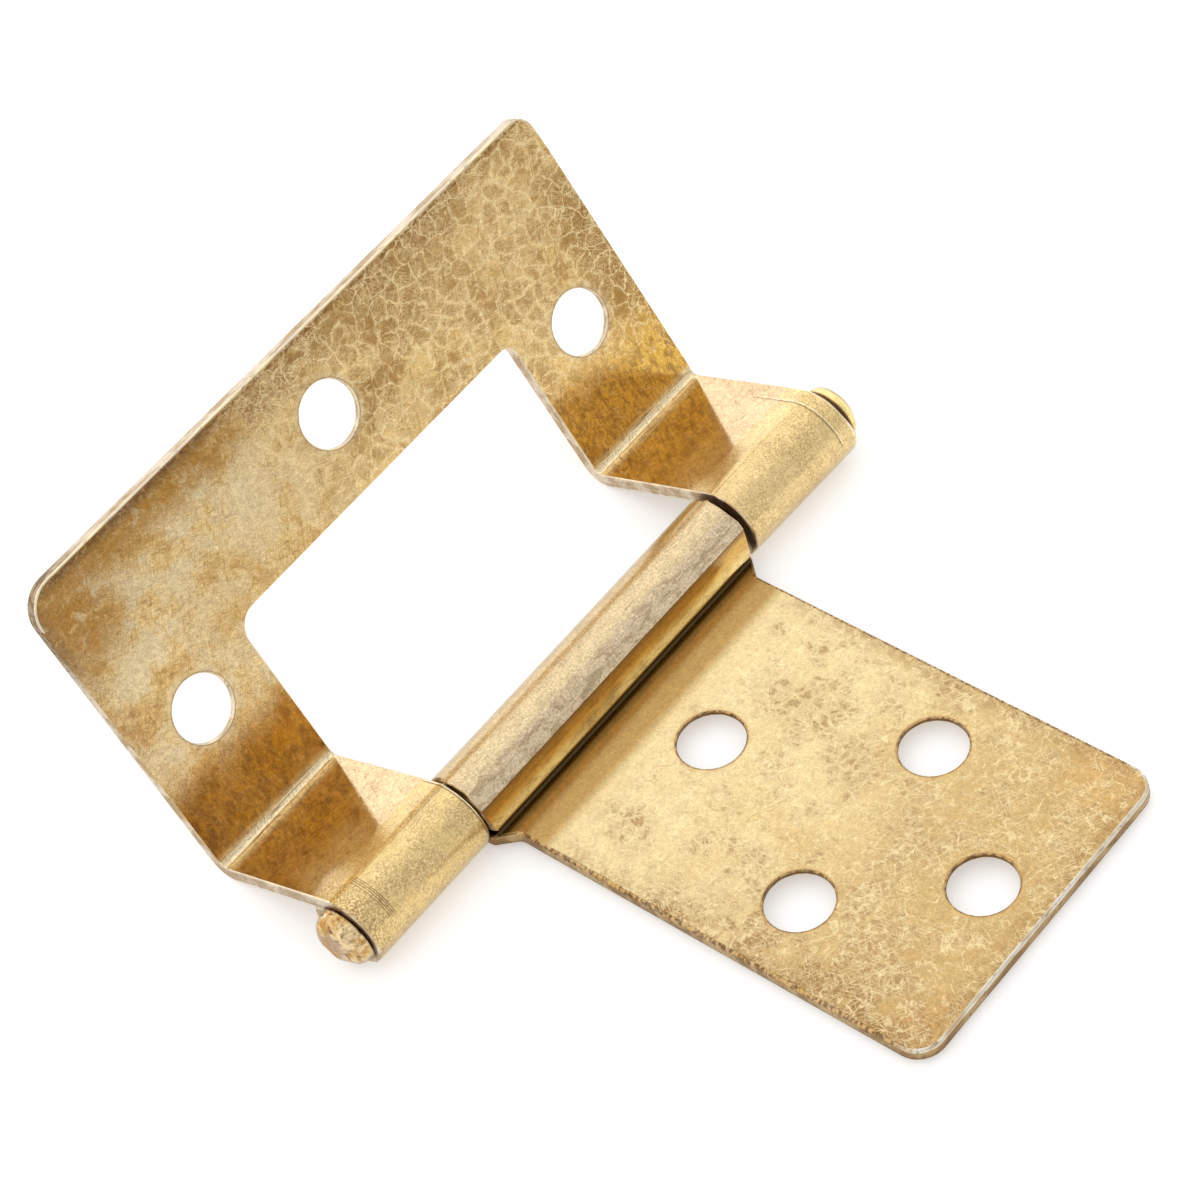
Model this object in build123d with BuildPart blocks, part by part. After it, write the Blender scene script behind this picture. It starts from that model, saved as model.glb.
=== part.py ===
from build123d import *
from math import cos, radians, sin, tan
import os

# Cranked flush hinge, lying on its inner leaf with the outer leaf standing up behind it.
# Lengths are in millimetres and angles in degrees. X runs along the pin, the inner leaf
# reaches to -Y, and the origin is the middle of the part's footprint on its resting surface.

# The pin and the fits between the pieces
pin_r = 1.7
running_clearance = 0.05
knuckle_gap = 0.35

# Outer leaf: a windowed plate, folded across its arms to reach the pin. The window and its
# holes were punched a little to one side of the middle.
outer_sheet = 1.05
leaf_length = 50.2
arm_reach = 11.7
arm_drop = 21.7
crank = 86.5
fold_r = 0.55
seam_gap = 0.1
plate_width = 23.7
plate_left_corner_r = 2.4
plate_right_corner_r = 1.5
window_depth = 12.0
window_left_corner_r = 1.7
window_right_corner_r = 0.9
side_hole_height = 9.3
punch_offset = 0.12

# Inner leaf: a narrower plate whose wide tongue is rolled into the middle knuckle
inner_sheet = 0.95
inner_reach = 37.0
inner_width = 25.1
inner_corner_r = 1.95
shoulder = 1.25
shoulder_run = 1.45
shoulder_reach = 2.35
shoulder_r = 0.6
joggle = 0.37
joggle_angle = 8.5
joggle_r = 2.0
flat_turn = 169.4
flat_run = 1.35
facet_start = 151.0
curl_corner_r = 0.65
near_hole_reach = 9.95
cross_hole_reach = 22.95
cross_hole_spacing = 14.25
far_hole_reach = 32.2

# Screw holes, countersunk from the side that faces away from the wood
hole_r = 2.35
sink_r = 2.95
sink_angle = 90.0

# Pin heads, peened over the end knuckles
head_r = 2.3
head_height = 1.55
head_seat_r = 1.95
head_lift = 0.18
head_crown_r = 0.9

# The rolled knuckles
bore_r = pin_r + running_clearance
outer_barrel_r = bore_r + outer_sheet
outer_middle_r = bore_r + outer_sheet / 2
inner_barrel_r = bore_r + inner_sheet
inner_middle_r = bore_r + inner_sheet / 2
middle_knuckle = inner_width + 2 * shoulder
window_half = middle_knuckle / 2 + knuckle_gap

# The outer leaf's section, seen along the pin with the pin at (0, 0)
arm_along = (cos(radians(-arm_drop)), sin(radians(-arm_drop)))
arm_up = (-arm_along[1], arm_along[0])
plate_tilt = crank - arm_drop
plate_along = (cos(radians(plate_tilt)), sin(radians(plate_tilt)))
plate_out = (-plate_along[1], plate_along[0])
crease = (
    outer_barrel_r * arm_up[0] + arm_reach * arm_along[0],
    outer_barrel_r * arm_up[1] + arm_reach * arm_along[1],
)
crease_shift = outer_sheet / 2 * tan(radians(crank / 2))
arm_start = (outer_middle_r * arm_up[0], outer_middle_r * arm_up[1])
fold_corner = (
    arm_start[0] + (arm_reach + crease_shift) * arm_along[0],
    arm_start[1] + (arm_reach + crease_shift) * arm_along[1],
)
plate_end = (
    fold_corner[0] + (plate_width + crease_shift) * plate_along[0],
    fold_corner[1] + (plate_width + crease_shift) * plate_along[1],
)
fold_centre_up = crease[1] + fold_r * (arm_up[1] + plate_out[1]) / (1 + cos(radians(crank)))

# The pin's place: halfway along the footprint, and as high as the lowest bend needs
plate_back = plate_end[0] - outer_sheet / 2 * plate_out[0]
pin_y = (inner_reach - plate_back) / 2
pin_z = max(outer_barrel_r, fold_r + outer_sheet - fold_centre_up)

# Work planes: the section across the pin, the plate's face inside the fold, the plate's
# outside face, and the underside of the inner leaf
section = Plane(origin=(0, pin_y, pin_z), x_dir=(0, 1, 0), z_dir=(1, 0, 0))
plate_face = Plane(
    origin=(0, pin_y + crease[0], pin_z + crease[1]),
    x_dir=(1, 0, 0),
    z_dir=(0, plate_out[0], plate_out[1]),
)
plate_outside = Plane(
    origin=plate_face.from_local_coords((0, 0, -outer_sheet)),
    x_dir=(-1, 0, 0),
    z_dir=-plate_face.z_dir,
)
underside = Plane(
    origin=(0, pin_y, pin_z - inner_barrel_r + joggle), x_dir=(1, 0, 0), z_dir=(0, 0, -1)
)

os.makedirs("parts", exist_ok=True)

# Outer leaf: the folded and rolled section, cut away between the arms
with BuildPart() as outer_leaf:
    with BuildSketch(section):
        with BuildLine():
            FilletPolyline(plate_end, fold_corner, arm_start, radius=fold_r + outer_sheet / 2)
        trace(line_width=outer_sheet)
        Circle(outer_barrel_r)
        Circle(bore_r, mode=Mode.SUBTRACT)
        # the seam where the rolled end meets the arm's underside
        with Locations(Location((0, 0), -arm_drop)):
            with Locations((0, bore_r)):
                Rectangle(
                    2 * outer_barrel_r,
                    seam_gap,
                    align=(Align.MIN, Align.MAX),
                    mode=Mode.SUBTRACT,
                )
    extrude(amount=leaf_length / 2, both=True)
    # the opening between the arms, past the knuckles and through the fold
    with BuildSketch(section.offset(punch_offset)):
        with Locations(Location((0, 0), -arm_drop)):
            with Locations((-2 * outer_barrel_r, -2 * outer_barrel_r)):
                Rectangle(
                    3 * outer_barrel_r + arm_reach,
                    3 * outer_barrel_r + window_depth / 2,
                    align=(Align.MIN, Align.MIN),
                )
    extrude(amount=window_half, both=True, mode=Mode.SUBTRACT)
    # the window in the plate, rounded at its two far corners
    with BuildSketch(plate_face) as window:
        with Locations((punch_offset, 0)):
            Rectangle(2 * window_half, window_depth, align=(Align.CENTER, Align.MIN))
        fillet(
            window.vertices().group_by(Axis.Y)[-1].sort_by(Axis.X)[0],
            radius=window_left_corner_r,
        )
        fillet(
            window.vertices().group_by(Axis.Y)[-1].sort_by(Axis.X)[-1],
            radius=window_right_corner_r,
        )
    extrude(amount=2 * outer_sheet, both=True, mode=Mode.SUBTRACT)
    # a screw hole in the middle of each arm and one in the middle of the back strip
    side_hole_x = (window_half + leaf_length / 2) / 2
    with Locations(plate_outside):
        with Locations(
            (-side_hole_x - punch_offset, side_hole_height),
            (side_hole_x - punch_offset, side_hole_height),
            (-punch_offset, (window_depth + plate_width) / 2),
        ):
            CounterSinkHole(hole_r, sink_r, 2 * outer_sheet, sink_angle)
    # the plate's far corners, worn to different radii
    normal_to_plate = Axis((0, 0, 0), plate_face.z_dir)
    far_edges = outer_leaf.edges().filter_by(normal_to_plate).group_by(Axis.Z)[-1]
    fillet(far_edges.sort_by(Axis.X)[0], radius=plate_left_corner_r)
    far_edges = outer_leaf.edges().filter_by(normal_to_plate).group_by(Axis.Z)[-1]
    fillet(far_edges.sort_by(Axis.X)[-1], radius=plate_right_corner_r)

outer_leaf.part.label = "outer_leaf"
export_step(outer_leaf.part, "parts/outer_leaf.step")

# Inner leaf: the plate dips under the pin and is rolled back over it. The roll's last stretch
# is straight, and pressed a little thinner than the sheet, up to its free edge.
curl_start = -90 - joggle_angle
curl_tangent = (inner_middle_r * cos(radians(curl_start)), inner_middle_r * sin(radians(curl_start)))
joggle_rise = joggle - inner_middle_r - curl_tangent[1]
joggle_y = curl_tangent[0] - joggle_rise / tan(radians(joggle_angle))
flat_out = (cos(radians(flat_turn)), sin(radians(flat_turn)))
flat_begin = (inner_middle_r * flat_out[0], inner_middle_r * flat_out[1])
flat_end = (flat_begin[0] - flat_run * flat_out[1], flat_begin[1] + flat_run * flat_out[0])
flat_depth = inner_barrel_r * cos(radians(flat_turn - facet_start))
flat_back = inner_barrel_r * sin(radians(flat_turn - facet_start))
with BuildPart() as inner_leaf:
    with BuildSketch(section):
        with BuildLine():
            FilletPolyline(
                (-2 * inner_reach, joggle - inner_middle_r),
                (joggle_y, joggle - inner_middle_r),
                curl_tangent,
                radius=joggle_r,
            )
            CenterArc((0, 0), inner_middle_r, curl_start, flat_turn - curl_start)
            Line(flat_begin, flat_end)
        trace(line_width=inner_sheet)
        # the flat that the rolling tool left along the free edge
        with Locations(Location((0, 0), flat_turn)):
            with Locations((flat_depth, -flat_back)):
                Rectangle(
                    inner_sheet,
                    flat_back + flat_run,
                    align=(Align.MIN, Align.MIN),
                    mode=Mode.SUBTRACT,
                )
    extrude(amount=middle_knuckle / 2, both=True)
    # the rounded corners of the free edge
    free_edge = section.from_local_coords((flat_end[0], flat_end[1], 0))
    free_face = inner_leaf.faces().filter_by(GeomType.PLANE).sort_by_distance(free_edge)[0]
    fillet(free_face.edges().sort_by(SortBy.LENGTH)[:2], radius=curl_corner_r)
    # the outline seen from above, with its sloping shoulders and rounded far corners
    shoulder_near = pin_y - shoulder_reach
    shoulder_far = shoulder_near - shoulder_run
    with BuildSketch(Plane.XY.offset(pin_z)) as outline:
        with BuildLine():
            Polyline(
                (-middle_knuckle / 2, pin_y + 2 * outer_barrel_r),
                (-middle_knuckle / 2, shoulder_near),
                (-inner_width / 2, shoulder_far),
                (-inner_width / 2, pin_y - inner_reach),
                (inner_width / 2, pin_y - inner_reach),
                (inner_width / 2, shoulder_far),
                (middle_knuckle / 2, shoulder_near),
                (middle_knuckle / 2, pin_y + 2 * outer_barrel_r),
                close=True,
            )
        make_face()
        fillet(
            outline.vertices().filter_by_position(Axis.Y, shoulder_far, shoulder_near),
            radius=shoulder_r,
        )
        fillet(outline.vertices().group_by(Axis.Y)[0], radius=inner_corner_r)
    extrude(amount=2 * outer_barrel_r, both=True, mode=Mode.INTERSECT)
    # four screw holes, one at each point of a kite
    with Locations(underside):
        with Locations(
            (0, near_hole_reach),
            (-cross_hole_spacing / 2, cross_hole_reach),
            (cross_hole_spacing / 2, cross_hole_reach),
            (0, far_hole_reach),
        ):
            CounterSinkHole(hole_r, sink_r, 2 * inner_sheet, sink_angle)

inner_leaf.part.label = "inner_leaf"
export_step(inner_leaf.part, "parts/inner_leaf.step")

# Pin: a straight shank with a blunt dome at each end, seated on the knuckle near the bore
shank_half = leaf_length / 2
with BuildPart() as hinge_pin:
    with BuildSketch(Plane(origin=(0, pin_y, pin_z), x_dir=(1, 0, 0), z_dir=(0, -1, 0))):
        with BuildLine():
            Polyline(
                (shank_half + head_height, head_crown_r),
                (shank_half + head_height, 0),
                (0, 0),
                (0, pin_r),
                (shank_half, pin_r),
                (shank_half, head_seat_r),
                (shank_half + head_lift, head_r),
            )
            EllipticalCenterArc(
                (shank_half + head_lift, head_crown_r),
                head_height - head_lift,
                head_r - head_crown_r,
                start_angle=0,
                arc_size=90,
            )
        make_face()
        mirror(about=Plane.YZ)
    revolve(axis=Axis((0, pin_y, pin_z), (1, 0, 0)))

hinge_pin.part.label = "hinge_pin"
export_step(hinge_pin.part, "parts/hinge_pin.step")
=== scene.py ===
from math import atan2, degrees, pi, radians

import bmesh
import bpy
from mathutils import Matrix, Vector, noise


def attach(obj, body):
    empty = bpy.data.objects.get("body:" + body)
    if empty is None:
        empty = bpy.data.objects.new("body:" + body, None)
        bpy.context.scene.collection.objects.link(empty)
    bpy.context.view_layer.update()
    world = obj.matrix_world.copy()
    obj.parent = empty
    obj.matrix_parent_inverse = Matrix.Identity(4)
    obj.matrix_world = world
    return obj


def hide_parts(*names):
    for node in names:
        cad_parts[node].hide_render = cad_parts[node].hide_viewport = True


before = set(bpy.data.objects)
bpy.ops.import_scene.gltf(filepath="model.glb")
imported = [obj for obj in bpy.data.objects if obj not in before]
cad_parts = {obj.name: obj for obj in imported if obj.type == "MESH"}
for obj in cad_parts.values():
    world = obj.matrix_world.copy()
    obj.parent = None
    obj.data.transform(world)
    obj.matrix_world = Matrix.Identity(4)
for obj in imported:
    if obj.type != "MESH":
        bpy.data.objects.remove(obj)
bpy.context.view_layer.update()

mm = 0.001

# Where the section's main lines lie, in millimetres, as the part's own source has them
section = {
    "pinY": 7.0264,
    "pinZ": 2.8,
    "creaseY": 18.933,
    "creaseZ": 1.0755,
    "plateAlong": (0.0, 0.42578, 0.90483),
    "plateOut": (0.0, -0.90483, 0.42578),
    "armAlong": (0.0, 0.92913, -0.36975),
    "armUp": (0.0, 0.36975, 0.92913),
    "outerKnuckleR": 2.8,
    "innerKnuckleR": 2.7,
    "leafEndX": 25.1,
    "armUnrolled": 12.41,
}
pinMiddle = Vector((0, section["pinY"], section["pinZ"]))
creaseMiddle = Vector((0, section["creaseY"], section["creaseZ"]))


def linear(red, green, blue):
    # a colour as a picture editor names it, 0 to 255, to the linear one that Blender wants
    shades = []
    for level in (red, green, blue):
        share = level / 255
        shades.append(share / 12.92 if share <= 0.04045 else ((share + 0.055) / 1.055) ** 2.4)
    return (*shades, 1.0)


# Short ways to wire a node tree
def wire(tree, made, sockets):
    # a socket given as a value is linked, anything else is set
    for name, value in sockets.items():
        if isinstance(value, bpy.types.NodeSocket):
            tree.links.new(value, made.inputs[name])
        else:
            made.inputs[name].default_value = value


def addNode(tree, kind, sockets=None, **settings):
    made = tree.nodes.new("ShaderNode" + kind)
    for name, value in settings.items():
        setattr(made, name, value)
    wire(tree, made, sockets or {})
    return made


def calc(tree, operation, *values):
    return addNode(tree, "Math", dict(enumerate(values)), operation=operation).outputs[0]


def mul(tree, *values):
    total = values[0]
    for value in values[1:]:
        total = calc(tree, "MULTIPLY", total, value)
    return total


def mostOf(tree, *values):
    total = values[0]
    for value in values[1:]:
        total = calc(tree, "MAXIMUM", total, value)
    return total


def butNot(tree, mask, share=1.0):
    # 1 where the mask is 0, and less by this share where it is 1
    return calc(tree, "MULTIPLY_ADD", mask, -share, 1.0)


def apart(tree, value, middle):
    return calc(tree, "ABSOLUTE", calc(tree, "SUBTRACT", value, middle))


def longSide(tree, one, other):
    return calc(tree, "SQRT", calc(tree, "ADD", mul(tree, one, one), mul(tree, other, other)))


def ease(tree, value, low, high, most=1.0):
    # 0 at low and most at high, with soft ends
    sockets = {0: value, 1: low, 2: high, 3: 0.0, 4: most}
    return addNode(tree, "MapRange", sockets, interpolation_type="SMOOTHSTEP").outputs[0]


def band(tree, value, low, high, soft):
    # 1 between low and high, fading over soft outside them
    rise = ease(tree, value, low - soft, low)
    fall = ease(tree, value, high + soft, high)
    return calc(tree, "MULTIPLY", rise, fall)


def line(tree, value, place, soft, width=0.04):
    return band(tree, value, place - width / 2, place + width / 2, soft)


def between(tree, share, low, high):
    return addNode(tree, "Mix", {0: share, 2: low, 3: high}, data_type="FLOAT").outputs[0]


def tint(tree, share, under, over, way="MIX"):
    sockets = {0: share, 6: under, 7: over}
    return addNode(tree, "Mix", sockets, data_type="RGBA", blend_type=way).outputs[2]


def shaded(tree, colour, noiseValue, strength):
    # lighter and darker about the colour, by a value that lies about 0.5
    level = calc(tree, "MULTIPLY_ADD", noiseValue, strength, 1.0 - strength / 2)
    grey = addNode(tree, "CombineColor", {0: level, 1: level, 2: level}).outputs[0]
    return tint(tree, 1.0, colour, grey, "MULTIPLY")


class Paint:
    # a colour that is built up in coats, each as strong as its masks and shares let it show
    def __init__(self, tree, look, colour):
        self.tree = tree
        self.look = look
        self.colour = colour

    def coat(self, shade, *masks):
        over = self.look[shade] if isinstance(shade, str) else shade
        self.colour = tint(self.tree, mul(self.tree, *masks), self.colour, over)

    def vary(self, noiseValue, strength):
        self.colour = shaded(self.tree, self.colour, noiseValue, strength)

    def speckle(self, grain, satinMask, strength, satinStrength):
        # weaker on the plain sheet than on its satin parts
        fine = shaded(self.tree, self.colour, grain, strength)
        satin = shaded(self.tree, self.colour, grain, satinStrength)
        self.colour = tint(self.tree, satinMask, fine, satin)


def axesOf(tree, point):
    return addNode(tree, "SeparateXYZ", {0: point}).outputs


def onPlane(tree, across, along):
    return addNode(tree, "CombineXYZ", {0: across, 1: along}).outputs[0]


def shift(tree, point, offset):
    return addNode(tree, "VectorMath", {0: point, 1: offset}, operation="ADD").outputs[0]


def reach(tree, point, origin, direction):
    # how far a point lies from origin along direction
    away = addNode(tree, "VectorMath", {0: point, 1: tuple(origin)}, operation="SUBTRACT").outputs[0]
    made = addNode(tree, "VectorMath", {0: away, 1: tuple(direction)}, operation="DOT_PRODUCT")
    return made.outputs["Value"]


def distance(tree, point, middle):
    made = addNode(tree, "VectorMath", {0: point, 1: middle}, operation="DISTANCE")
    return made.outputs["Value"]


def cloud(tree, point, size, detail=3.0, rough=0.55, bend=0.0):
    sockets = {"Vector": point, "Scale": 1 / size, "Detail": detail, "Roughness": rough}
    return addNode(tree, "TexNoise", {**sockets, "Distortion": bend}).outputs[0]


def flatNoise(tree, point, scale, detail, rough=0.5, bend=0.0):
    sockets = {"Vector": point, "Scale": scale, "Detail": detail, "Roughness": rough}
    return addNode(tree, "TexNoise", {**sockets, "Distortion": bend}, noise_dimensions="2D").outputs


def newGroup(name, vectors, values, masks):
    # vectors and values go in, and a group puts out only masks
    tree = bpy.data.node_groups.new(name, "ShaderNodeTree")
    for socketName in vectors:
        tree.interface.new_socket(socketName, in_out="INPUT", socket_type="NodeSocketVector")
    for socketName, value in values.items():
        made = tree.interface.new_socket(socketName, in_out="INPUT", socket_type="NodeSocketFloat")
        made.default_value = value
    for socketName in masks:
        tree.interface.new_socket(socketName, in_out="OUTPUT", socket_type="NodeSocketFloat")
    return tree, tree.nodes.new("NodeGroupInput").outputs, tree.nodes.new("NodeGroupOutput").inputs


def useGroup(tree, group, sockets):
    made = tree.nodes.new("ShaderNodeGroup")
    made.node_tree = group
    wire(tree, made, sockets)
    return made.outputs


# Shared effects. Those that lie in the sheet read it unrolled: x, and the length along the sheet
def makeCellNetwork():
    # crazed plating: pale lines round darker, speckled hearts, which some cells lack
    heartReach = 3.2
    values = {"Size": 1.4, "Wobble": 0.5, "Width": 0.08}
    tree, given, put = newGroup("cellNetwork", ["Vector"], values, ["Line", "Heart"])
    drift = flatNoise(tree, given["Vector"], 0.7, 2.0)["Color"]
    centred = addNode(tree, "VectorMath", {0: drift, 1: (0.5, 0.5, 0.5)}, operation="SUBTRACT").outputs[0]
    bent = addNode(tree, "VectorMath", {0: centred, "Scale": given["Wobble"]}, operation="SCALE").outputs[0]
    sockets = {"Vector": shift(tree, given["Vector"], bent)}
    sockets["Scale"] = calc(tree, "DIVIDE", 1.0, given["Size"])
    border = addNode(tree, "TexVoronoi", sockets, feature="DISTANCE_TO_EDGE", voronoi_dimensions="2D")
    away = border.outputs["Distance"]
    tree.links.new(ease(tree, away, given["Width"], 0.0), put["Line"])
    inside = ease(tree, away, given["Width"], mul(tree, given["Width"], heartReach))
    chance = addNode(tree, "TexVoronoi", sockets, voronoi_dimensions="2D").outputs["Color"]
    present = ease(tree, addNode(tree, "SeparateColor", {0: chance}).outputs[0], 0.1, 0.7)
    tree.links.new(mul(tree, inside, present), put["Heart"])
    return tree


def makeHairLines():
    # fine curling lines that come and go, pale ones and dark ones beside them
    paleLevel = 0.5
    darkLevel = 0.41
    darkWidth = 0.8
    values = {"Size": 1.0, "Width": 0.04, "Gaps": 0.5}
    tree, given, put = newGroup("hairLines", ["Vector"], values, ["Line", "Under"])
    scale = calc(tree, "DIVIDE", 1.0, given["Size"])
    field = flatNoise(tree, given["Vector"], scale, 3.0, 0.45, 0.4)[0]
    seen = flatNoise(tree, shift(tree, given["Vector"], (7.0, 3.0, 1.0)), scale, 1.0)[0]
    shown = ease(tree, seen, given["Gaps"], calc(tree, "ADD", given["Gaps"], 0.12))
    pale = ease(tree, apart(tree, field, paleLevel), given["Width"], 0.0)
    tree.links.new(mul(tree, pale, shown), put["Line"])
    dark = ease(tree, apart(tree, field, darkLevel), mul(tree, given["Width"], darkWidth), 0.0)
    tree.links.new(mul(tree, dark, shown), put["Under"])
    return tree


def makeRubbing():
    # fine, nearly straight scratches along one direction of the sheet
    scratchLevel = 0.62
    values = {"Turn": 0.0, "Length": 4.0, "Width": 0.3, "Thin": 0.06}
    tree, given, put = newGroup("rubbing", ["Vector"], values, ["Line"])
    sockets = {"Vector": given["Vector"], "Angle": given["Turn"]}
    turned = axesOf(tree, addNode(tree, "VectorRotate", sockets, rotation_type="Z_AXIS").outputs[0])
    down = calc(tree, "DIVIDE", turned[0], given["Length"])
    across = calc(tree, "DIVIDE", turned[1], given["Width"])
    field = flatNoise(tree, onPlane(tree, down, across), 1.0, 0.0)[0]
    tree.links.new(ease(tree, apart(tree, field, scratchLevel), given["Thin"], 0.0), put["Line"])
    return tree


def makeHoleRing():
    # 1 beside a punched hole's rim, and less farther out
    values = {"Radius": 2.35, "Wide": 0.6}
    tree, given, put = newGroup("holeRing", ["Vector", "Middle"], values, ["Ring", "Rim"])
    away = distance(tree, given["Vector"], given["Middle"])
    beyond = calc(tree, "SUBTRACT", away, given["Radius"])
    tree.links.new(ease(tree, beyond, given["Wide"], 0.0), put["Ring"])
    tree.links.new(ease(tree, beyond, 0.2, 0.07), put["Rim"])
    return tree


cellNetwork = makeCellNetwork()
hairLines = makeHairLines()
rubbing = makeRubbing()
holeRing = makeHoleRing()
print("shared effects made")


def startMaterial(name):
    # a material with its Principled shader, and the point on the piece in millimetres
    made = bpy.data.materials.new(name)
    made.use_nodes = True
    tree = made.node_tree
    tree.nodes.clear()
    shader = addNode(tree, "BsdfPrincipled")
    surface = addNode(tree, "OutputMaterial")
    tree.links.new(shader.outputs[0], surface.inputs[0])
    place = addNode(tree, "TexCoord").outputs["Object"]
    point = addNode(tree, "Mapping", {"Vector": place, "Scale": (1000.0, 1000.0, 1000.0)}).outputs[0]
    return made, tree, shader, point


def lacquer(shader, weight, roughness):
    # the thin clear film over the plating
    shader.inputs["Metallic"].default_value = 1.0
    shader.inputs["Coat Weight"].default_value = weight
    shader.inputs["Coat Roughness"].default_value = roughness
    shader.inputs["Coat IOR"].default_value = 1.5


def relief(tree, height, depth):
    # depth in millimetres for a height of 1
    return addNode(tree, "Bump", {"Strength": 1.0, "Distance": depth * mm, "Height": height}).outputs[0]


def spot(tree, sheet, middle, size):
    # a soft round place on the unrolled sheet
    return ease(tree, distance(tree, sheet, (*middle, 0.0)), size, size * 0.25)


def spots(tree, sheet, places):
    return mostOf(tree, *[spot(tree, sheet, middle, size) for middle, size in places])


def ringsAndRims(tree, sheet, holes, wide):
    rings = []
    rims = []
    for middle in holes:
        made = useGroup(tree, holeRing, {"Vector": sheet, "Middle": (*middle, 0.0), "Wide": wide})
        rings.append(made["Ring"])
        rims.append(made["Rim"])
    return mostOf(tree, *rings), mostOf(tree, *rims)


def hairsOn(tree, sheet, size, width, gaps):
    return useGroup(tree, hairLines, {"Vector": sheet, "Size": size, "Width": width, "Gaps": gaps})


def scratches(tree, sheet, ways, thin=0.06):
    # each way is a turn in radians, and a scratch's length and width
    lines = []
    for turn, length, width in ways:
        sockets = {"Vector": sheet, "Turn": turn, "Length": length, "Width": width, "Thin": thin}
        lines.append(useGroup(tree, rubbing, sockets)["Line"])
    return mostOf(tree, *lines)


# Outer leaf's plating; heights are measured up the plate from the fold
outerPlating = {
    "tan": linear(226, 190, 126),
    "gold": linear(234, 195, 116),
    "pale": linear(246, 221, 166),
    "cast": linear(214, 195, 160),
    "heart": linear(160, 118, 52),
    "brown": linear(178, 134, 76),
    "purple": linear(146, 102, 58),
    "amber": linear(146, 98, 24),
    "cornerAmber": linear(166, 114, 20),
    "patchGold": linear(208, 164, 86),
    "foldPlate": linear(238, 188, 76),
    "foldLeft": linear(206, 150, 24),
    "armHighlight": linear(226, 194, 150),
    "mottle": linear(140, 92, 34),
    "bright": linear(252, 236, 198),
    "dark": linear(112, 74, 32),
    "satin": linear(238, 210, 150),
    "leftSatin": linear(238, 208, 142),
    "roughness": 0.17,
    "grainSize": 0.13,
    "grainDepth": 0.0016,
    "satinDepth": 0.0046,
    "crimpDepth": 0.0048,
    "bow": 0.2,
    "cells": {"Size": 1.35, "Wobble": 1.2, "Width": 0.07},
    "holes": ((-19.505, 9.3), (19.745, 9.3), (0.12, 17.85)),
    # soft places on the sheet, each a middle and a size
    "goldPlaces": (((-12.6, 13.9), 7.0),),
    "cornerPlaces": (((-23.2, 21.2), 6.0),),
    "stainPlaces": (((3.7, 17.4), 3.0), ((-24.6, 5.2), 2.8), ((9.0, 21.0), 4.5)),
    # how far tones reach: nothing at the first place, all of it at the second
    "knuckleEdge": (3.3, 2.86),
    "leftFade": (2.0, -12.0),
    "rightFade": (-12.0, 0.0),
    "cellFade": (-10.0, 3.0),
    "sideFade": (22.0, 25.1),
    "plateFade": (2.0, 6.0),
    "cloudRise": (19.4, 22.4),
    "amberRise": (21.6, 23.4),
    "cornerRise": (18.8, 22.4),
    "foldReach": (9.0, 3.5),
    "foldEnd": (-0.6, 0.4),
    "bowRise": (0.5, 10.0),
    "dotLine": (23.3, 23.4),
    # marks across the knuckles, with the painted shade in them and the painted highlights beside them, at
    # their x, and how far round they go
    "rightCrimp": 23.71,
    "rightCrimpLight": 23.84,
    "rightCrimpRound": (-17.4, -8.6),
    "leftCrimps": (-22.72, -22.86, -23.02, -23.2),
    "leftCrimpRound": (-16.4, -13.2),
    "leftLip": -14.25,
    "leftLipLight": (-14.17, -13.9),
    "rightLipLight": (24.9, 24.97),
    # how strong the wear is; crimpTone is the painted shade in the crimps, and foldTone also sets the
    # painted highlight on the arms
    "hearts": 0.72,
    "cellLines": 0.8,
    "foldTone": 0.9,
    "crimpTone": 0.75,
    "hairs": 0.6,
    "rubs": 0.6,
    "fleckTone": 0.64,
    "speckle": 0.5,
    "satinSpeckle": 1.1,
}


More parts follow.
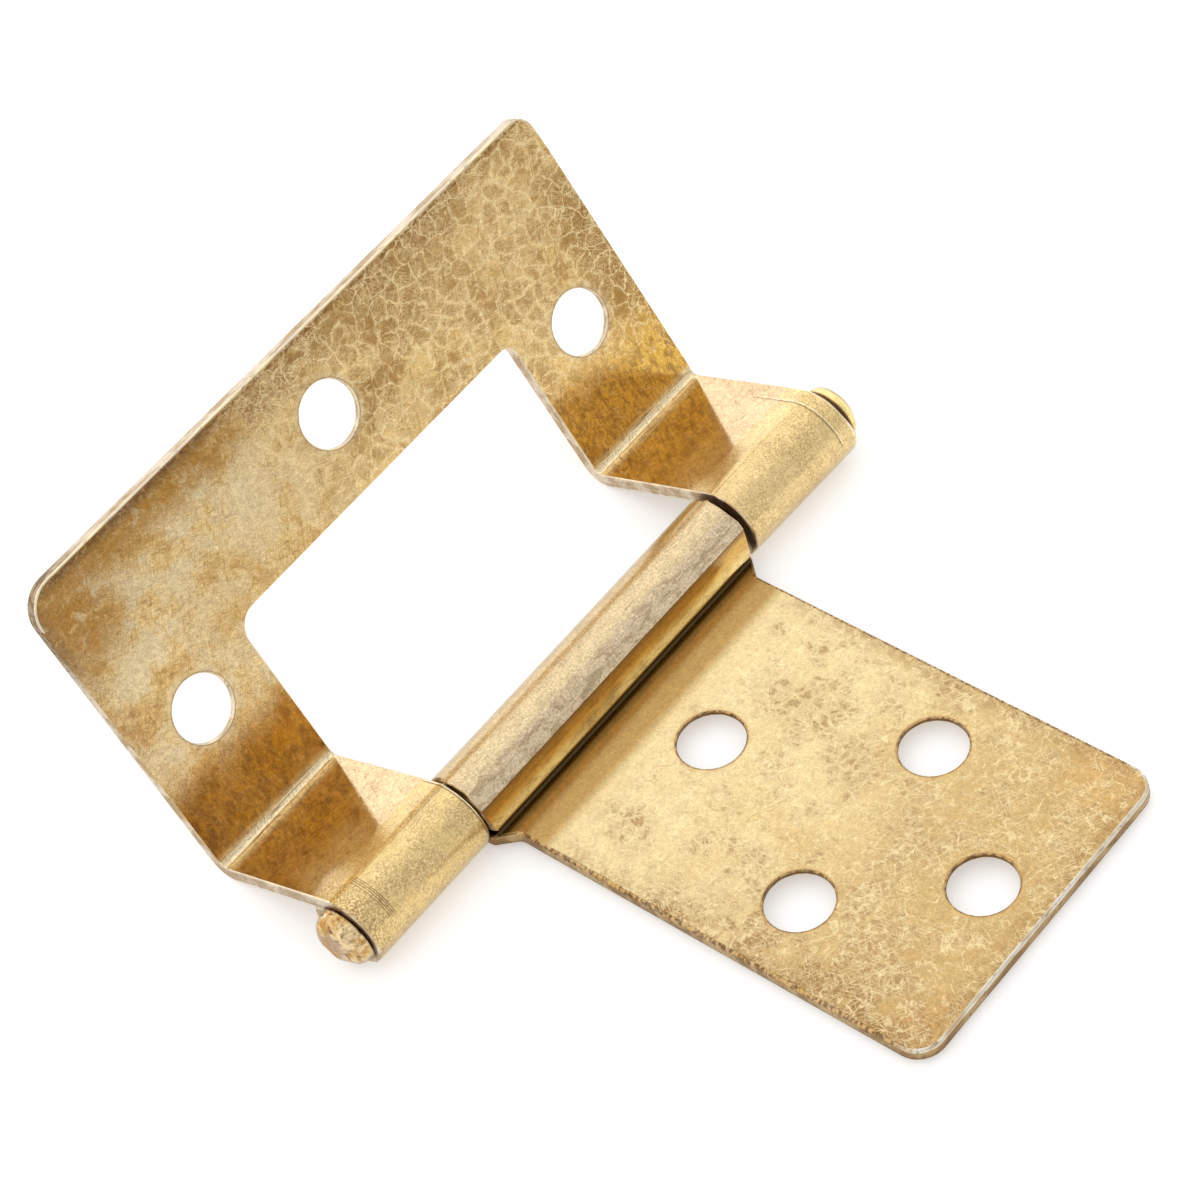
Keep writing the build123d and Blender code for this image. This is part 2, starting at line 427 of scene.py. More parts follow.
def makeOuterPlating():
    look = outerPlating
    made, tree, shader, point = startMaterial("outerLeafPlating")
    x = axesOf(tree, point)[0]
    aside = calc(tree, "ABSOLUTE", x)
    height = reach(tree, point, creaseMiddle, section["plateAlong"])
    alongArm = reach(tree, point, creaseMiddle, section["armAlong"])
    toward = calc(tree, "MULTIPLY", reach(tree, point, pinMiddle, section["armAlong"]), -1.0)
    over = reach(tree, point, pinMiddle, section["armUp"])
    knuckle = ease(tree, longSide(tree, toward, over), *look["knuckleEdge"])
    onFlat = ease(tree, knuckle, 0.6, 0.1)
    flat = calc(tree, "ADD", height, alongArm)
    turned = calc(tree, "ARCTAN2", toward, over)
    wound = calc(tree, "MULTIPLY_ADD", turned, -section["outerKnuckleR"], -section["armUnrolled"])
    along = between(tree, knuckle, flat, wound)
    sheet = onPlane(tree, x, along)

    wide = cloud(tree, point, 7.0, 2.0, 0.6)
    patch = cloud(tree, shift(tree, point, (11.0, 5.0, 2.0)), 3.0, 4.0, 0.66)
    smudge = cloud(tree, shift(tree, sheet, (6.0, 1.0, 3.0)), 1.1, 3.0, 0.7, 0.8)
    fleck = cloud(tree, shift(tree, point, (2.0, 9.0, 4.0)), 0.36, 2.0, 0.72)
    grain = cloud(tree, point, look["grainSize"], 1.0, 0.6)
    smoky = calc(tree, "ADD", 0.35, ease(tree, smudge, 0.38, 0.58, 0.65))
    leftPart = ease(tree, x, *look["leftFade"])
    rightPart = ease(tree, x, *look["rightFade"])

    # the ground colour drifts between tan, gold and a greyish cast
    paint = Paint(tree, look, look["tan"])
    paint.coat("gold", ease(tree, wide, 0.46, 0.62, 0.6))
    paint.coat("cast", leftPart, ease(tree, patch, 0.42, 0.58, 0.8))
    dulled = mul(tree, ease(tree, patch, 0.5, 0.36), ease(tree, smudge, 0.36, 0.6))
    paint.coat("brown", dulled, 0.75)
    paint.coat("patchGold", spots(tree, sheet, look["goldPlaces"]), 0.45)

    # cloudy brown along the free edge, and dark amber at the left corner
    offFold = ease(tree, height, *look["plateFade"])
    edgeBand = mul(tree, ease(tree, height, *look["cloudRise"]), ease(tree, patch, 0.36, 0.52), smoky)
    paint.coat("purple", edgeBand, band(tree, x, -8.0, 15.0, 5.0), 0.95)
    freeEdge = mul(tree, ease(tree, height, *look["amberRise"]), smoky)
    paint.coat("amber", freeEdge, 0.6)
    alongLeft = mul(tree, ease(tree, height, *look["cornerRise"]), ease(tree, x, -4.0, -9.0))
    inCorner = mostOf(tree, alongLeft, spots(tree, sheet, look["cornerPlaces"]))
    paint.coat("cornerAmber", inCorner, ease(tree, smudge, 0.24, 0.5), 0.92)
    outermost = mostOf(tree, ease(tree, height, 22.5, 23.3), ease(tree, x, -24.0, -24.8))
    paint.coat("dark", inCorner, outermost, ease(tree, fleck, 0.3, 0.5), 0.9)
    sides = mul(tree, ease(tree, aside, *look["sideFade"]), offFold, smoky)
    paint.coat("brown", sides, 0.65)
    rightSide = mul(tree, ease(tree, x, 20.0, 24.0), band(tree, height, 8.0, 17.0, 3.0), smoky)
    paint.coat("heart", rightSide, 0.9)
    dimmer = mul(tree, ease(tree, x, 21.5, 24.2), band(tree, height, 6.0, 17.0, 2.5))
    paint.coat("heart", dimmer, 0.85)
    paint.coat("heart", spots(tree, sheet, look["stainPlaces"]), smoky, 0.8)

    # crazed cells, strongest over the right half
    cells = useGroup(tree, cellNetwork, {"Vector": sheet, **look["cells"]})
    crazed = mul(tree, ease(tree, x, *look["cellFade"]), offFold, ease(tree, patch, 0.28, 0.42))
    speckled = calc(tree, "ADD", 0.4, ease(tree, fleck, 0.42, 0.54, 0.6))
    paint.coat("heart", crazed, cells["Heart"], speckled, look["hearts"])
    paint.coat("pale", crazed, cells["Line"], look["cellLines"])

    # drawn and mottled near the fold, where the sheet was stretched; the arms are painted paler as a
    # painted highlight, and a painted highlight runs along the fold
    pastFold = ease(tree, along, *look["foldEnd"])
    nearFold = mul(tree, ease(tree, along, *look["foldReach"]), pastFold)
    drawn = tint(tree, ease(tree, x, -4.0, -14.0), look["foldPlate"], look["foldLeft"])
    paint.coat(drawn, nearFold, look["foldTone"])
    onArm = mul(tree, ease(tree, along, *reversed(look["foldEnd"])), onFlat)
    # the arms painted paler: a painted highlight
    paint.coat("armHighlight", onArm, look["foldTone"])
    stretched = addNode(tree, "Mapping", {"Vector": sheet, "Scale": (1.7, 0.8, 1.0)}).outputs[0]
    streaks = cloud(tree, stretched, 1.0, 3.0, 0.68, 0.6)
    onEither = calc(tree, "ADD", nearFold, mul(tree, onArm, ease(tree, along, -9.0, -5.0), 0.5))
    paint.coat("mottle", onEither, ease(tree, streaks, 0.47, 0.62), 0.6)
    pulled = scratches(tree, sheet, ((1.5, 1.6, 0.3),), 0.12)
    paint.coat("dark", nearFold, pulled, 0.35)
    armEdge = mul(tree, onArm, ease(tree, aside, 23.2, 25.0), ease(tree, fleck, 0.46, 0.58))
    paint.coat("brown", armEdge, 0.5)
    leftEdge = mul(tree, nearFold, ease(tree, x, -21.0, -25.0), ease(tree, streaks, 0.36, 0.54))
    paint.coat("mottle", leftEdge, 0.6)
    inFold = band(tree, along, -0.5, 0.5, 0.6)
    # a painted highlight along the fold
    paint.coat("bright", inFold, 0.8)
    foldMarks = scratches(tree, sheet, ((0.02, 9.0, 0.26),), 0.07)
    paint.coat("amber", inFold, foldMarks, 0.75)

    # knuckles: satin, with crimped ends; the crimps and the lip by the gap are painted dark as painted
    # shade, with painted highlights beside the right crimp and on the end rims
    satinColour = tint(tree, ease(tree, x, -2.0, 2.0), look["leftSatin"], look["satin"])
    paint.coat(satinColour, knuckle, 0.8)
    dull = mul(tree, ease(tree, patch, 0.46, 0.6), butNot(tree, ease(tree, grain, 0.34, 0.66)))
    paint.coat("brown", knuckle, dull, 0.4)
    leftCrimps = [line(tree, x, place, 0.04, 0.02) for place in look["leftCrimps"]]
    leftCrimp = mul(tree, mostOf(tree, *leftCrimps), band(tree, along, *look["leftCrimpRound"], 0.5))
    rightRound = band(tree, along, *look["rightCrimpRound"], 0.6)
    rightCrimp = mul(tree, line(tree, x, look["rightCrimp"], 0.06), rightRound)
    lip = mul(tree, line(tree, x, look["leftLip"], 0.05), knuckle)
    crimps = mostOf(tree, rightCrimp, leftCrimp, lip)
    # painted shade in the crimps' grooves and beside the gap between the knuckles
    paint.coat("dark", crimps, look["crimpTone"])
    nearHead = mul(tree, knuckle, ease(tree, x, -22.6, -24.8), ease(tree, grain, 0.56, 0.42))
    paint.coat("heart", nearHead, 0.4)
    # painted highlights beside the right crimp and along the knuckles' end rims
    crimpLight = mul(tree, line(tree, x, look["rightCrimpLight"], 0.07), rightRound)
    rightLip = ease(tree, x, *look["rightLipLight"])
    lips = mul(tree, mostOf(tree, band(tree, x, *look["leftLipLight"], 0.03), rightLip), knuckle)
    lit = mostOf(tree, mul(tree, crimpLight, 0.7), lips)
    paint.coat("bright", lit, 0.9)

    # curling hairs on the right, felted ones on the left, and fine rubbing
    hairs = hairsOn(tree, sheet, 1.3, 0.04, 0.45)
    paint.coat("heart", hairs["Under"], rightPart, onFlat, 0.4)
    paint.coat("pale", hairs["Line"], rightPart, onFlat, look["hairs"])
    toned = mostOf(tree, nearFold, inCorner)
    felt = hairsOn(tree, sheet, 0.75, 0.035, 0.36)
    felted = mul(tree, leftPart, onFlat, butNot(tree, toned, 0.6))
    paint.coat("mottle", felt["Under"], felted, 0.45)
    paint.coat("pale", felt["Line"], felted, 0.5)
    rubbed = mul(tree, onFlat, ease(tree, patch, 0.34, 0.54), butNot(tree, toned, 0.8))
    shortWays = ((0.75, 2.4, 0.2), (-0.7, 1.8, 0.18), (1.35, 1.6, 0.2), (0.1, 1.5, 0.18))
    paint.coat("pale", scratches(tree, sheet, shortWays), rubbed, look["rubs"])
    longRubs = scratches(tree, sheet, ((0.6, 5.0, 0.15), (1.0, 4.0, 0.14), (-0.4, 4.5, 0.15)))
    paint.coat("pale", longRubs, rubbed, leftPart, 0.5)
    darkRubs = scratches(tree, sheet, ((0.35, 1.6, 0.18), (-1.1, 1.8, 0.2)))
    duller = mul(tree, onFlat, ease(tree, patch, 0.66, 0.46))
    paint.coat("heart", darkRubs, duller, look["rubs"])

    # rings round the screw holes
    rings, rims = ringsAndRims(tree, onPlane(tree, x, height), look["holes"], 0.8)
    paint.coat("cast", rings, ease(tree, fleck, 0.36, 0.54), 0.45)
    paint.coat("dark", rims, 0.7)

    paint.vary(smudge, 0.28)
    paint.vary(fleck, look["fleckTone"])
    paint.speckle(grain, knuckle, look["speckle"], look["satinSpeckle"])

    # the dotted dark line just inside the free edge
    dotted = mul(tree, band(tree, height, *look["dotLine"], 0.08), ease(tree, fleck, 0.46, 0.56))
    paint.coat("dark", dotted, 0.75)
    tree.links.new(paint.colour, shader.inputs["Base Color"])

    rough = calc(tree, "MULTIPLY_ADD", patch, 0.12, look["roughness"] - 0.06)
    rough = calc(tree, "MULTIPLY_ADD", knuckle, 0.1, rough)
    rough = calc(tree, "MULTIPLY_ADD", onArm, -0.07, rough)
    tree.links.new(rough, shader.inputs["Roughness"])
    depth = calc(tree, "MULTIPLY_ADD", knuckle, look["satinDepth"] / look["grainDepth"] - 1.0, 1.0)
    pressed = -look["crimpDepth"] / look["grainDepth"]
    bumps = calc(tree, "MULTIPLY_ADD", crimps, pressed, mul(tree, grain, depth))
    bowed = ease(tree, height, *look["bowRise"], look["bow"] / look["grainDepth"])
    bumps = calc(tree, "ADD", bumps, bowed)
    tree.links.new(relief(tree, bumps, look["grainDepth"]), shader.inputs["Normal"])
    lacquer(shader, 0.5, 0.12)
    return made


# Inner leaf's plating
innerPlating = {
    "gold": linear(225, 196, 136),
    "pale": linear(245, 224, 171),
    "tan": linear(198, 163, 102),
    "cloudy": linear(178, 145, 96),
    "brown": linear(148, 106, 54),
    "orange": linear(212, 164, 94),
    "shadowed": linear(172, 130, 54),
    "gapShade": linear(52, 34, 16),
    "satin": linear(230, 206, 162),
    "flatDark": linear(152, 104, 38),
    "flat": linear(232, 182, 88),
    "flatLight": linear(250, 218, 142),
    "grey": linear(224, 204, 174),
    "dull": linear(168, 142, 104),
    "dark": linear(104, 70, 34),
    "roughness": 0.2,
    "grainSize": 0.14,
    "grainDepth": 0.002,
    "satinDepth": 0.0046,
    "lineDepth": 0.008,
    "sprung": 0.36,
    "coatWeight": 0.5,
    "cells": {"Size": 0.9, "Wobble": 1.4, "Width": 0.09},
    "holes": ((0.0, -2.9236), (-7.125, -15.9236), (7.125, -15.9236), (0.0, -25.1736)),
    # stains, some in the places that the real one has them, each a middle and a size
    "stainPlaces": (
        ((1.5, 1.0), 2.0), ((3.8, -12.4), 3.6), ((-10.2, -15.2), 3.4),
        ((-8.0, -23.0), 4.4), ((-6.0, -18.4), 3.4), ((11.7, -14.6), 3.2),
        ((6.0, -6.5), 4.6), ((-9.0, -3.0), 3.0), ((1.0, -19.0), 4.0),
    ),
    "cornerPlaces": (((11.1, -27.8), 5.0), ((-11.5, -28.5), 4.5)),
    # hair lines: size, width and offset
    "hairSets": ((1.0, 0.05, (0.0, 0.0, 0.0)), (2.2, 0.022, (5.0, 2.0, 0.0))),
    # how far tones reach along the leaf: nothing at the first place, all of it at the second
    "farFade": (-7.0, -26.0),
    "endGrime": (-27.4, -29.9),
    "sideGrime": (10.4, 12.5),
    "edgeDots": (12.24, 12.33),
    "leafEnd": (1.5, -2.0),
    # turns of the roll, in degrees round the pin
    "flatStart": (149.0, 153.0),
    "flatLine": 150.9,
    "greyRise": (104.0, 126.0),
    # the painted shade between the leaf and the roll: its heights, and how far under the roll
    "gapHeights": (0.75, 1.8),
    "gapReach": (2.9, 4.5),
    "gapEnd": (8.2, 7.6),
    # how strong the wear is
    "farTone": 0.85,
    "stains": 0.95,
    "hairs": 0.6,
    "rubs": 0.55,
    "fleckTone": 0.6,
    "speckle": 0.5,
    "satinSpeckle": 1.15,
}


def makeInnerPlating():
    look = innerPlating
    made, tree, shader, point = startMaterial("innerLeafPlating")
    x, y, z = axesOf(tree, point)
    aside = calc(tree, "ABSOLUTE", x)
    farther = calc(tree, "SUBTRACT", y, section["pinY"])
    above = calc(tree, "SUBTRACT", z, section["pinZ"])
    curl = ease(tree, longSide(tree, farther, above), 3.1, 2.8)
    # degrees round the pin, counted so that no seam shows: 90 is the top of the roll, 180 faces the leaf
    sideways = calc(tree, "ARCTAN2", calc(tree, "MULTIPLY", farther, -1.0), above)
    turned = calc(tree, "MULTIPLY_ADD", sideways, 180 / pi, 90.0)
    wound = calc(tree, "MULTIPLY_ADD", sideways, section["innerKnuckleR"], 12.0)
    sheet = onPlane(tree, x, between(tree, curl, y, wound))

    wide = cloud(tree, shift(tree, point, (1.0, 2.0, 6.0)), 6.0, 2.0, 0.6)
    patch = cloud(tree, shift(tree, point, (8.0, 4.0, 1.0)), 2.8, 4.0, 0.68)
    smudge = cloud(tree, shift(tree, sheet, (2.0, 8.0, 3.0)), 0.9, 3.0, 0.7, 0.8)
    fleck = cloud(tree, shift(tree, point, (3.0, 7.0, 2.0)), 0.32, 2.0, 0.72)
    grain = cloud(tree, point, look["grainSize"], 1.0, 0.6)
    onLeaf = ease(tree, y, *look["leafEnd"])

    # paler by the pin, duller towards the far end
    far = ease(tree, y, *look["farFade"])
    paint = Paint(tree, look, look["gold"])
    paint.coat("tan", far, look["farTone"])
    nearPin = mul(tree, ease(tree, wide, 0.42, 0.56, 0.5), ease(tree, y, -22.0, -6.0))
    paler = mostOf(tree, nearPin, ease(tree, y, -12.0, -3.0, 0.45))
    paint.coat("pale", paler)
    paint.coat("orange", spots(tree, sheet, look["cornerPlaces"]), 0.45)

    # speckled stains, and grime along the edges
    stains = spots(tree, sheet, look["stainPlaces"])
    blotch = ease(tree, calc(tree, "MULTIPLY_ADD", stains, 0.17, patch), 0.49, 0.64)
    dappled = calc(tree, "ADD", mul(tree, fleck, 0.5), mul(tree, smudge, 0.5))
    spotted = calc(tree, "ADD", 0.3, ease(tree, dappled, 0.42, 0.56))
    cells = useGroup(tree, cellNetwork, {"Vector": sheet, **look["cells"]})
    veined = calc(tree, "ADD", 0.45, mul(tree, cells["Heart"], 0.7))
    paint.coat("cloudy", blotch, onLeaf, spotted, veined, look["stains"])
    grimy = mostOf(tree, ease(tree, aside, *look["sideGrime"]), ease(tree, y, *look["endGrime"]))
    paint.coat("brown", grimy, ease(tree, smudge, 0.36, 0.58), onLeaf, 0.6)
    lowerLeft = mul(tree, ease(tree, x, -6.5, -11.5), ease(tree, y, -4.0, -12.0))
    lowerLeft = mul(tree, lowerLeft, ease(tree, patch, 0.36, 0.56), spotted)
    paint.coat("brown", lowerLeft, 0.65)
    paint.coat("pale", cells["Line"], onLeaf, blotch, 0.4)

    for size, width, offset in look["hairSets"]:
        hairs = hairsOn(tree, shift(tree, sheet, offset), size, width, 0.48)
        paint.coat("cloudy", hairs["Under"], onLeaf, 0.4)
        paint.coat("pale", hairs["Line"], onLeaf, look["hairs"])
    rubs = scratches(tree, sheet, ((0.5, 2.0, 0.2), (-0.9, 1.6, 0.18), (1.4, 1.8, 0.2)))
    smoother = ease(tree, patch, 0.36, 0.54)
    paint.coat("pale", rubs, onLeaf, smoother, look["rubs"])
    besideCurl = mul(tree, ease(tree, y, 0.3, 1.6), ease(tree, curl, 0.5, 0.0))
    paint.coat("shadowed", besideCurl, 0.85)

    # the curl: satin and speckled, greyer above the flat, with the flat's line pressed in
    beforeFlat = ease(tree, turned, *reversed(look["flatStart"]))
    rolled = mul(tree, curl, beforeFlat)
    paint.coat("satin", rolled, 0.85)
    paint.coat("shadowed", curl, ease(tree, turned, 94.0, 62.0, 0.3))
    greyBand = mul(tree, ease(tree, turned, *look["greyRise"]), beforeFlat)
    paint.coat("grey", curl, greyBand, 0.6)
    stretched = addNode(tree, "Mapping", {"Vector": sheet, "Scale": (0.55, 1.3, 1.0)}).outputs[0]
    worn = mul(tree, cloud(tree, stretched, 1.0, 4.0, 0.7, 0.5), 0.7)
    worn = calc(tree, "MULTIPLY_ADD", fleck, 0.3, worn)
    pitted = mul(tree, ease(tree, worn, 0.48, 0.56), calc(tree, "MULTIPLY_ADD", greyBand, 0.45, 0.2))
    paint.coat("dull", rolled, pitted)
    # the flat is painted dark at its top and yellow towards the free edge, a painted shade and a painted
    # reflection, with worn mottles over it
    flatShading = Paint(tree, look, look["flatDark"])
    flatShading.coat("flat", ease(tree, turned, 151.0, 166.0))
    flatShading.coat("flatLight", ease(tree, turned, 172.0, 190.0))
    flatShading.coat("flatDark", ease(tree, worn, 0.46, 0.62, 0.5))
    paint.coat(flatShading.colour, curl, ease(tree, turned, 149.0, 152.0), 0.9)
    streaks = scratches(tree, sheet, ((0.03, 5.0, 0.22),), 0.05)
    paint.coat("dull", streaks, curl, ease(tree, patch, 0.46, 0.58), 0.5)

    # painted shade in the gap between the leaf and the roll's free edge, and not on the roll's underside
    inGap = mul(tree, band(tree, z, *look["gapHeights"], 0.2), ease(tree, y, *look["gapEnd"]))
    gapShade = mul(tree, ease(tree, y, *look["gapReach"]), inGap)
    paint.coat("gapShade", gapShade, 0.95)
    flatLine = mul(tree, curl, line(tree, turned, look["flatLine"], 1.0, 0.6))
    paint.coat("dark", flatLine, 0.7)

    rings, rims = ringsAndRims(tree, sheet, look["holes"], 0.5)
    paint.coat("orange", rings, 0.4)
    paint.coat("dark", rims, 0.65)
    dots = mul(tree, ease(tree, aside, *look["edgeDots"]), ease(tree, fleck, 0.44, 0.54), onLeaf)
    paint.coat("dark", dots, 0.8)

    paint.vary(smudge, 0.26)
    paint.vary(fleck, look["fleckTone"])
    paint.speckle(grain, rolled, look["speckle"], look["satinSpeckle"])
    tree.links.new(paint.colour, shader.inputs["Base Color"])

    rough = calc(tree, "MULTIPLY_ADD", patch, 0.14, look["roughness"] - 0.07)
    rough = calc(tree, "MULTIPLY_ADD", rolled, 0.1, rough)
    tree.links.new(rough, shader.inputs["Roughness"])
    depth = calc(tree, "MULTIPLY_ADD", rolled, look["satinDepth"] / look["grainDepth"] - 1.0, 1.0)
    pressed = -look["lineDepth"] / look["grainDepth"]
    bumps = calc(tree, "MULTIPLY_ADD", flatLine, pressed, mul(tree, grain, depth))
    sprung = mul(tree, ease(tree, turned, 151.0, 153.0), curl, ease(tree, z, 3.4, 1.2))
    bumps = calc(tree, "MULTIPLY_ADD", sprung, look["sprung"] / look["grainDepth"], bumps)
    tree.links.new(relief(tree, bumps, look["grainDepth"]), shader.inputs["Normal"])
    lacquer(shader, look["coatWeight"], 0.14)
    # the coat is left off where the gap's shade is painted, so that it stays dark
    bare = calc(tree, "MULTIPLY_ADD", gapShade, -look["coatWeight"], look["coatWeight"])
    tree.links.new(bare, shader.inputs["Coat Weight"])
    return made


# Sheared edges, and the pale rims along them, partly burnished and partly a painted highlight; the lines
# lie at parts of the sheet's thickness
cutEdges = {
    "seam": linear(128, 94, 54),
    "holeWallShade": linear(112, 74, 34),
    "dark": linear(84, 60, 34),
    "roughness": 0.3,
    "grainDepth": 0.012,
    "outerCutEdge": {
        "ground": linear(230, 214, 192),
        "patches": linear(192, 166, 128),
        "darkShare": 0.35,
        "seams": (-0.42, -0.76),
        "seamShare": 0.3,
        "elsewhere": (linear(168, 146, 116), linear(112, 88, 60)),
    },
    "innerCutEdge": {
        "ground": linear(198, 170, 124),
        "patches": linear(154, 122, 80),
        "darkShare": 0.5,
        "seams": (0.3, 0.62),
        "seamShare": 0.8,
    },
    "wornRimHighlight": {
        "ground": linear(236, 228, 214),
        "patches": linear(206, 184, 148),
        "darkShare": 0.5,
        "elsewhere": (linear(208, 166, 96), linear(124, 86, 40)),
    },
    "burnishedRimHighlight": {
        "ground": linear(252, 236, 196),
        "patches": linear(230, 214, 192),
        "darkShare": 0.35,
    },
}


def outerDepth(tree, point):
    # through the plate's sheet or, on the arms, through theirs
    plate = ease(tree, reach(tree, point, creaseMiddle, section["plateAlong"]), 0.6, 1.0)
    throughArm = reach(tree, point, creaseMiddle, section["armUp"])
    return between(tree, plate, throughArm, reach(tree, point, creaseMiddle, section["plateOut"]))


def innerDepth(tree, point):
    return axesOf(tree, point)[2]


def nearLeftCorner(tree, point):
    up = reach(tree, point, creaseMiddle, section["plateAlong"])
    return mul(tree, ease(tree, axesOf(tree, point)[0], -18.0, -23.0), ease(tree, up, 14.0, 20.0))


def shortOfEnd(tree, point):
    # all of the inner leaf but its far end, which is worn most and whose pale rim is partly a painted
    # highlight
    return ease(tree, axesOf(tree, point)[1], -28.4, -27.2)


def makeCutEdge(name, depthAt=None, elsewhere=None, holes=()):
    # depthAt places the lines along the edge, elsewhere masks a part in other shades
    look = cutEdges[name]
    made, tree, shader, point = startMaterial(name)
    drawn = addNode(tree, "Mapping", {"Vector": point, "Scale": (0.35, 1.0, 1.0)}).outputs[0]
    patch = cloud(tree, drawn, 1.3, 3.0, 0.6)
    fleck = cloud(tree, shift(tree, drawn, (4.0, 6.0, 2.0)), 0.28, 2.0, 0.7)
    paint = Paint(tree, look, look["ground"])
    paint.coat("patches", ease(tree, patch, 0.4, 0.62))
    for seam in look.get("seams", ()):
        depth = calc(tree, "MULTIPLY_ADD", patch, 0.3, depthAt(tree, point))
        torn = mul(tree, line(tree, depth, seam + 0.15, 0.06, 0.02), ease(tree, patch, 0.3, 0.5))
        paint.coat(cutEdges["seam"], torn, look["seamShare"])
    if elsewhere is not None:
        mottled = tint(tree, ease(tree, fleck, 0.42, 0.56), *look["elsewhere"])
        paint.coat(mottled, elsewhere(tree, point), 0.85)
    paint.coat(cutEdges["dark"], ease(tree, fleck, 0.56, 0.68), look["darkShare"])
    # the holes' walls painted dark, a painted shade
    if holes:
        axes = axesOf(tree, point)
        walls = ringsAndRims(tree, onPlane(tree, axes[0], axes[1]), holes, 0.3)[0]
        paint.coat(cutEdges["holeWallShade"], ease(tree, walls, 0.2, 0.6), 0.85)
    tree.links.new(paint.colour, shader.inputs["Base Color"])
    shader.inputs["Metallic"].default_value = 1.0
    rough = calc(tree, "ADD", cutEdges["roughness"], ease(tree, fleck, 0.3, 0.7, 0.15))
    tree.links.new(rough, shader.inputs["Roughness"])
    tree.links.new(relief(tree, fleck, cutEdges["grainDepth"]), shader.inputs["Normal"])
    return made


# The pin's heads: struck, mottled and partly bare
peening = {
    "bare": linear(236, 210, 162),
    "gold": linear(194, 146, 70),
    "rightGold": linear(206, 162, 84),
    "rightHighlight": linear(255, 232, 160),
    "brown": linear(150, 108, 60),
    "dark": linear(84, 56, 28),
    "roughness": 0.13,
    "struckDepth": 0.5,
    "neckShade": (25.36, 25.24),
    "rightRootShade": (25.66, 25.5),
    "rightHighlightBand": (25.75, 26.15),
}


def makePeened():
    look = peening
    made, tree, shader, point = startMaterial("peenedPin")
    patch = cloud(tree, point, 1.3, 3.0, 0.6)
    fleck = cloud(tree, shift(tree, point, (4.0, 6.0, 2.0)), 0.55, 3.0, 0.66)
    x = axesOf(tree, point)[0]
    leftEnd = ease(tree, x, 0.0, -2.0)
    # the left head's gold and cream patches and dark flecks are partly real wear and partly painted
    # reflections of its struck facets
    left = tint(tree, ease(tree, patch, 0.42, 0.58), look["gold"], look["bare"])
    # the right head is smooth: painted shade at its root, then a painted highlight, then gold
    right = tint(tree, band(tree, x, *look["rightHighlightBand"], 0.2), look["rightGold"], look["rightHighlight"])
    right = tint(tree, ease(tree, x, *look["rightRootShade"]), right, look["dark"])
    paint = Paint(tree, look, tint(tree, leftEnd, right, left))
    mottled = calc(tree, "MULTIPLY_ADD", leftEnd, 0.6, 0.15)
    paint.coat("brown", ease(tree, fleck, 0.5, 0.64), mottled)
    paint.coat("dark", ease(tree, fleck, 0.62, 0.68), mottled)
    # painted shade round the pin's neck, in the gap where the heads meet the knuckles
    neckShade = ease(tree, calc(tree, "ABSOLUTE", x), *look["neckShade"])
    paint.coat("dark", neckShade, 0.85)
    tree.links.new(paint.colour, shader.inputs["Base Color"])
    rough = calc(tree, "MULTIPLY_ADD", patch, 0.16, look["roughness"] - 0.08)
    tree.links.new(rough, shader.inputs["Roughness"])
    struck = mul(tree, patch, calc(tree, "MULTIPLY_ADD", leftEnd, 0.8, 0.2))
    tree.links.new(relief(tree, struck, look["struckDepth"]), shader.inputs["Normal"])
    lacquer(shader, 0.3, 0.15)
    return made


outerMaterial = makeOuterPlating()
innerMaterial = makeInnerPlating()
outerCut = makeCutEdge("outerCutEdge", outerDepth, nearLeftCorner)
innerCut = makeCutEdge("innerCutEdge", innerDepth, holes=innerPlating["holes"])
# the pale rims: partly worn bare and partly a painted highlight
wornRimHighlight = makeCutEdge("wornRimHighlight", elsewhere=shortOfEnd)
burnishedRimHighlight = makeCutEdge("burnishedRimHighlight")
pinMaterial = makePeened()
print("materials made")

# The sheets, with every sheared edge eased and its rim given a pale finish, partly burnished and partly a
# painted highlight; millimetres and degrees
sheetEdges = {
    "rim": 0.09,
    "outerOutline": 0.13,
    "innerOutline": 0.22,
    "knuckleRim": 0.2,
    "rimSteps": 3,
    "sharpAngle": 24.0,
    "flatAngle": 0.3,
    "holeClear": 2.6,
    "tiny": 0.001,
    "aslant": 0.6,
}

# Which edges and faces are meant, by where they lie
knuckleEnd = {"inner": 2.6, "outer": 2.9, "low": 0.4, "offArm": -0.2, "beyond": 13.0}
outerOutline = {"fold": 1.5, "deep": -0.3, "side": 24.0, "top": 22.0, "cutStart": 1.6}
innerOutline = {"deep": 0.6, "near": -3.5, "side": 12.3, "cutStart": 3.0}
freeEdge = {"half": 13.9, "near": 3.6, "far": 5.5, "low": 1.7, "platedHalf": 13.5, "platedFar": 6.0}


def mergedCopy(nodeName):
    made = bmesh.new()
    made.from_mesh(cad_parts[nodeName].data)
    bmesh.ops.remove_doubles(made, verts=made.verts, dist=sheetEdges["tiny"] * mm)
    return made


def joinFlatFaces(made):
    # the copy's triangles put together where they lie flat, so that a wide rim finds room
    flat = radians(sheetEdges["flatAngle"])
    bmesh.ops.dissolve_limit(made, angle_limit=flat, verts=made.verts, edges=made.edges)


def cutAcross(made, place):
    # a ring of new edges round the piece at one x
    everything = list(made.verts) + list(made.edges) + list(made.faces)
    where = (place * mm, 0, 0)
    bmesh.ops.bisect_plane(made, geom=everything, dist=0.0, plane_co=where, plane_no=(1, 0, 0))


def roundOff(made, edges, width):
    rims = bmesh.ops.bevel(
        made,
        geom=edges,
        offset=width * mm,
        segments=sheetEdges["rimSteps"],
        profile=0.5,
        affect="EDGES",
        material=-1,
        clamp_overlap=False,
    )
    return set(rims["faces"])


def fromPin(place):
    # the way from the pin's middle line to a place
    outward = place - pinMiddle
    outward.x = 0
    return outward


